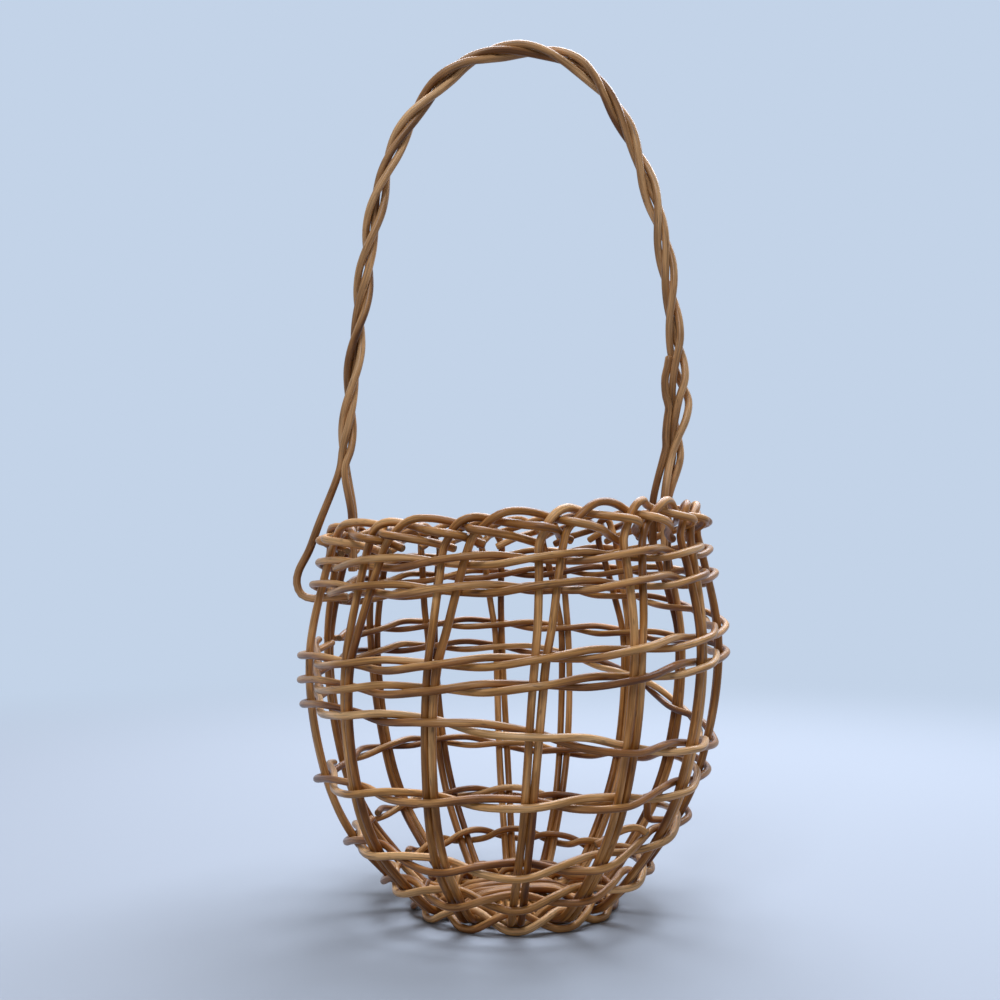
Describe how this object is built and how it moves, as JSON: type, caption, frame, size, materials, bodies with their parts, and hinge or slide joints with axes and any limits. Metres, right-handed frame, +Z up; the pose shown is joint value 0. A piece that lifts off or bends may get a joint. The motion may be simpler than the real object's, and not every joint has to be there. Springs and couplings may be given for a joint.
{
  "type": "openwork cane basket with handle",
  "caption": "Round openwork basket of cane rods with paired stakes, twined rows, a woven border and a tall twisted arch handle that rocks in its loops.",
  "frame": {"origin": "on the floor under the middle of the whole outline", "axes": "+Z up along the basket's axis, +X along the handle's span with the outer hook at -X, -Y towards the front"},
  "size_m": [0.1738, 0.17, 0.3486],
  "materials": {
    "stake_cane": "satin natural cane",
    "weaver_cane_light": "satin natural cane",
    "weaver_cane_dark": "satin natural cane",
    "handle_cane": "satin natural cane"
  },
  "bodies": {
    "basket_body": {"stake_long_1a": "stake_cane", "stake_long_1b": "stake_cane", "stake_long_2a": "stake_cane", "stake_long_2b": "stake_cane", "stake_long_3a": "stake_cane", "stake_long_3b": "stake_cane", "stake_long_4a": "stake_cane", "stake_long_4b": "stake_cane", "stake_short_1a": "stake_cane", "stake_short_1b": "stake_cane", "stake_short_2a": "stake_cane", "stake_short_2b": "stake_cane", "stake_short_3a": "stake_cane", "stake_short_3b": "stake_cane", "rim_row_upper_a": "weaver_cane_light", "rim_row_upper_b": "weaver_cane_dark", "rim_row_lower_a": "weaver_cane_light", "rim_row_lower_b": "weaver_cane_dark", "belly_row_first_a": "weaver_cane_light", "belly_row_first_b": "weaver_cane_dark", "belly_row_second_a": "weaver_cane_light", "belly_row_second_b": "weaver_cane_dark", "belly_row_third_a": "weaver_cane_light", "belly_row_third_b": "weaver_cane_dark", "lower_row_first_a": "weaver_cane_light", "lower_row_first_b": "weaver_cane_dark", "lower_row_second_a": "weaver_cane_light", "lower_row_second_b": "weaver_cane_dark", "lower_row_third_a": "weaver_cane_light", "lower_row_third_b": "weaver_cane_dark", "base_row_outer_a": "weaver_cane_light", "base_row_outer_b": "weaver_cane_dark", "base_row_inner_a": "weaver_cane_light", "base_row_inner_b": "weaver_cane_dark"},
    "handle": {"handle_rod_1": "handle_cane", "handle_rod_2": "handle_cane", "handle_rod_3": "handle_cane", "handle_tie_rod": "handle_cane"}
  },
  "joints": [
    {"name": "handle_rock", "type": "hinge", "parent": "basket_body", "child": "handle", "pos_m": [-0.07514, 0.00265, 0.12274], "axis": [0.9957, 0.0861, 0.0341], "range_deg": [-10, 10]}
  ]
}
